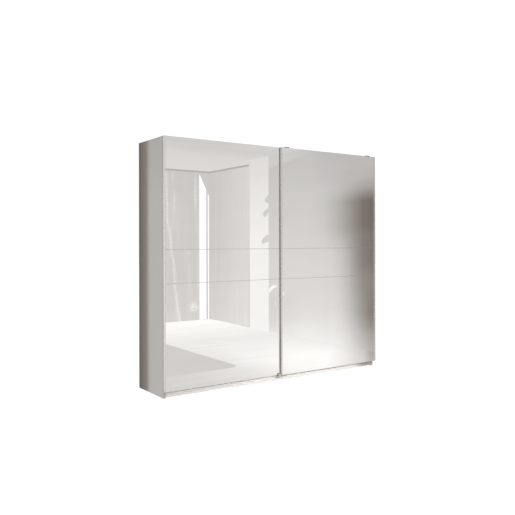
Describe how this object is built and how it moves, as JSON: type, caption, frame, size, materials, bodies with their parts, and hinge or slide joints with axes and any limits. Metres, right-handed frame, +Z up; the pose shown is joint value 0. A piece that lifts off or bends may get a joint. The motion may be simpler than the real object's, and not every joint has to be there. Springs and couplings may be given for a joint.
{
  "type": "sliding door wardrobe",
  "caption": "Free-standing sliding door wardrobe: laminate carcass, full-height mirror doors hung on rollers in a top track, hat shelves and clothes rails inside.",
  "frame": {"origin": "centre of the footprint over doors and carcass, on the floor", "axes": "+X to the right as seen from the front, +Y from the doors to the back, +Z up"},
  "size_m": [2.26, 0.541, 2.11],
  "materials": {
    "laminate": "light grey laminate, fine satin texture",
    "inner_laminate": "pale grey laminate, satin",
    "hardboard": "lacquered hardboard, satin",
    "white_plastic": "extruded plastic, satin",
    "zinc_steel": "zinc plated",
    "bright_steel": "pressed, zinc plated",
    "chrome": "polished chrome",
    "nylon": "dark moulded nylon, satin",
    "pale_nylon": "pale moulded nylon, satin",
    "aluminium": "mill finish extrusion",
    "door_aluminium": "bright anodised extrusion",
    "door_board": "grey faced particle board",
    "mirror": "clear silvered mirror, polished",
    "dark_steel": "dark coated steel",
    "seal": "dark soft lip seal"
  },
  "bodies": {
    "carcass": {"left_side": "laminate", "right_side": "laminate", "centre_partition": "inner_laminate", "top_panel": "laminate", "bottom_panel": "laminate", "plinth_front": "laminate", "plinth_rear": "laminate", "back_board_left": "hardboard", "back_board_right": "hardboard", "back_joint_strip": "white_plastic", "hat_shelf_left": "inner_laminate", "hat_shelf_right": "inner_laminate", "shelf_pins": "zinc_steel", "clothes_rail_left": "chrome", "clothes_rail_right": "chrome", "rail_sockets": "chrome", "socket_screws": "zinc_steel", "cam_locks": "zinc_steel", "cam_bolts": "zinc_steel", "partition_screws": "zinc_steel", "floor_glides": "pale_nylon", "wall_brackets": "bright_steel", "bracket_screws": "zinc_steel", "top_track": "aluminium", "track_screws": "zinc_steel", "track_stops": "nylon", "bottom_guide": "pale_nylon", "guide_screws": "zinc_steel"},
    "left_door": {"left_board": "door_board", "left_mirror_upper": "mirror", "left_mirror_middle": "mirror", "left_mirror_lower": "mirror", "left_slim_profile": "door_aluminium", "left_grip_profile": "door_aluminium", "left_top_rail": "door_aluminium", "left_bottom_rail": "door_aluminium", "left_seam_strips": "door_aluminium", "left_hangers": "dark_steel", "left_hanger_screws": "zinc_steel", "left_axles": "zinc_steel"},
    "right_door": {"right_board": "door_board", "right_mirror_upper": "mirror", "right_mirror_middle": "mirror", "right_mirror_lower": "mirror", "right_slim_profile": "door_aluminium", "right_grip_profile": "door_aluminium", "right_top_rail": "door_aluminium", "right_bottom_rail": "door_aluminium", "right_seam_strips": "door_aluminium", "right_hangers": "dark_steel", "right_hanger_screws": "zinc_steel", "right_axles": "zinc_steel", "overlap_seal": "seal"},
    "left_roller_a": {"left_roller_a": "nylon"},
    "left_roller_b": {"left_roller_b": "nylon"},
    "right_roller_a": {"right_roller_a": "nylon"},
    "right_roller_b": {"right_roller_b": "nylon"}
  },
  "joints": [
    {"name": "left_door_slide", "type": "slide", "parent": "carcass", "child": "left_door", "axis": [1, 0, 0], "range_m": [0, 1.113]},
    {"name": "right_door_slide", "type": "slide", "parent": "carcass", "child": "right_door", "axis": [1, 0, 0], "range_m": [-1.113, 0]},
    {"name": "left_roller_a_turn", "type": "hinge", "parent": "left_door", "child": "left_roller_a", "pos_m": [-1.051, -0.203, 2.069], "axis": [0, 1, 0], "continuous": true},
    {"name": "left_roller_b_turn", "type": "hinge", "parent": "left_door", "child": "left_roller_b", "pos_m": [-0.067, -0.203, 2.069], "axis": [0, 1, 0], "continuous": true},
    {"name": "right_roller_a_turn", "type": "hinge", "parent": "right_door", "child": "right_roller_a", "pos_m": [0.062, -0.177, 2.069], "axis": [0, 1, 0], "continuous": true},
    {"name": "right_roller_b_turn", "type": "hinge", "parent": "right_door", "child": "right_roller_b", "pos_m": [1.046, -0.177, 2.069], "axis": [0, 1, 0], "continuous": true}
  ],
  "couplings": [
    {"joint": "left_roller_a_turn", "follows": "left_door_slide", "rad_per_m": 83.333},
    {"joint": "left_roller_b_turn", "follows": "left_door_slide", "rad_per_m": 83.333},
    {"joint": "right_roller_a_turn", "follows": "right_door_slide", "rad_per_m": 83.333},
    {"joint": "right_roller_b_turn", "follows": "right_door_slide", "rad_per_m": 83.333}
  ]
}
